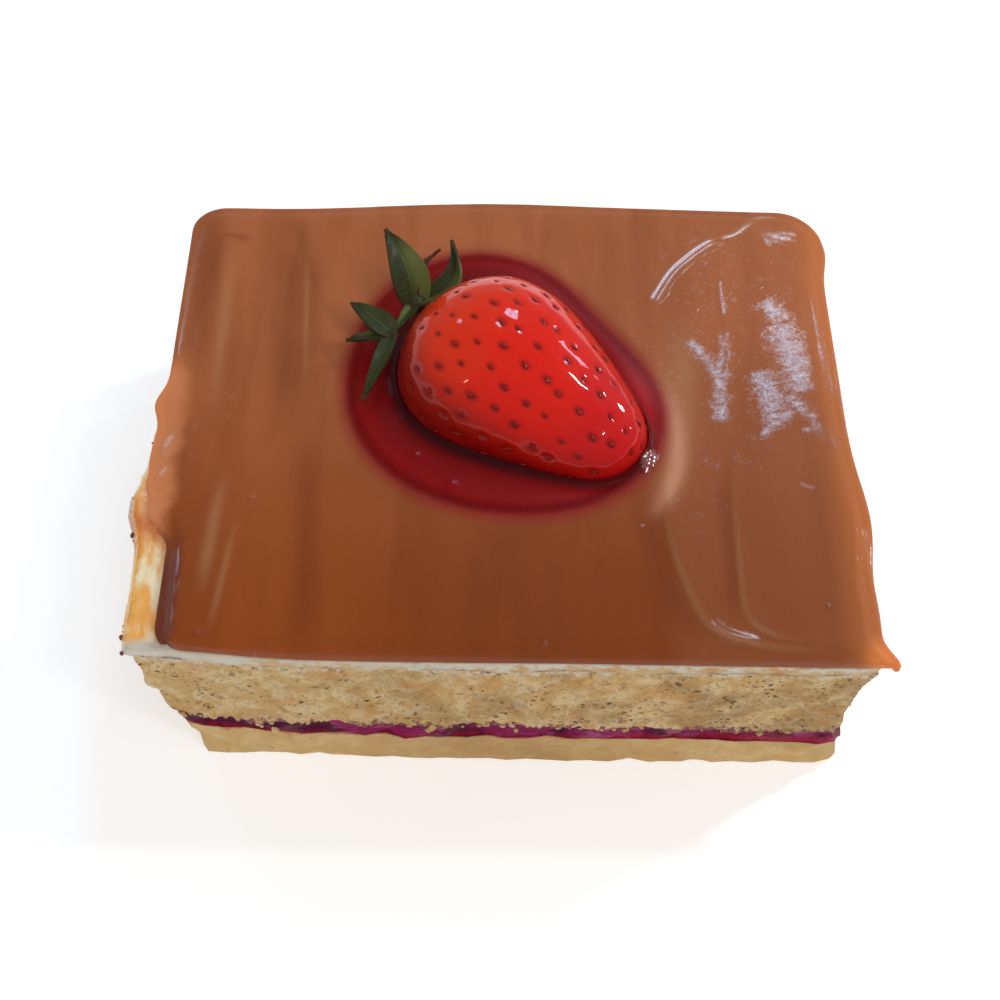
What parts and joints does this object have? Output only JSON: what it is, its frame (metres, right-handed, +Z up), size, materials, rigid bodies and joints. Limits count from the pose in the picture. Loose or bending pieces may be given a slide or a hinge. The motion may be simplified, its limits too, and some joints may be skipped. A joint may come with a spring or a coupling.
{
  "type": "cake slice",
  "caption": "Rectangular slice of milk-soaked layer cake with berry filling, milk cream, caramel glaze and a strawberry half in red gel.",
  "frame": {"origin": "middle of the flat underside, on the surface that the slice rests on", "axes": "+X to the right along the cut front, +Y from the front to the back, +Z up"},
  "size_m": [0.097, 0.0768, 0.0434],
  "materials": {
    "sponge": "open yellow crumb with small holes, moist and matt",
    "filling": "purple-red fruit filling, wet in places",
    "cream": "ivory milk cream with a soft sheen",
    "caramel": "smooth glossy caramel with low spatula marks",
    "gel": "clear dark red gel, very glossy",
    "leaf": "green leaf with pale veins",
    "strawberry": "red fruit with dark seeds in pits, under a clear glaze"
  },
  "bodies": {
    "root": {"bottom_sponge": "sponge", "berry_filling": "filling", "top_sponge": "sponge", "milk_cream": "cream", "caramel_glaze": "caramel", "fruit_gel": "gel", "strawberry_calyx": "leaf", "strawberry_half": "strawberry"}
  },
  "joints": []
}
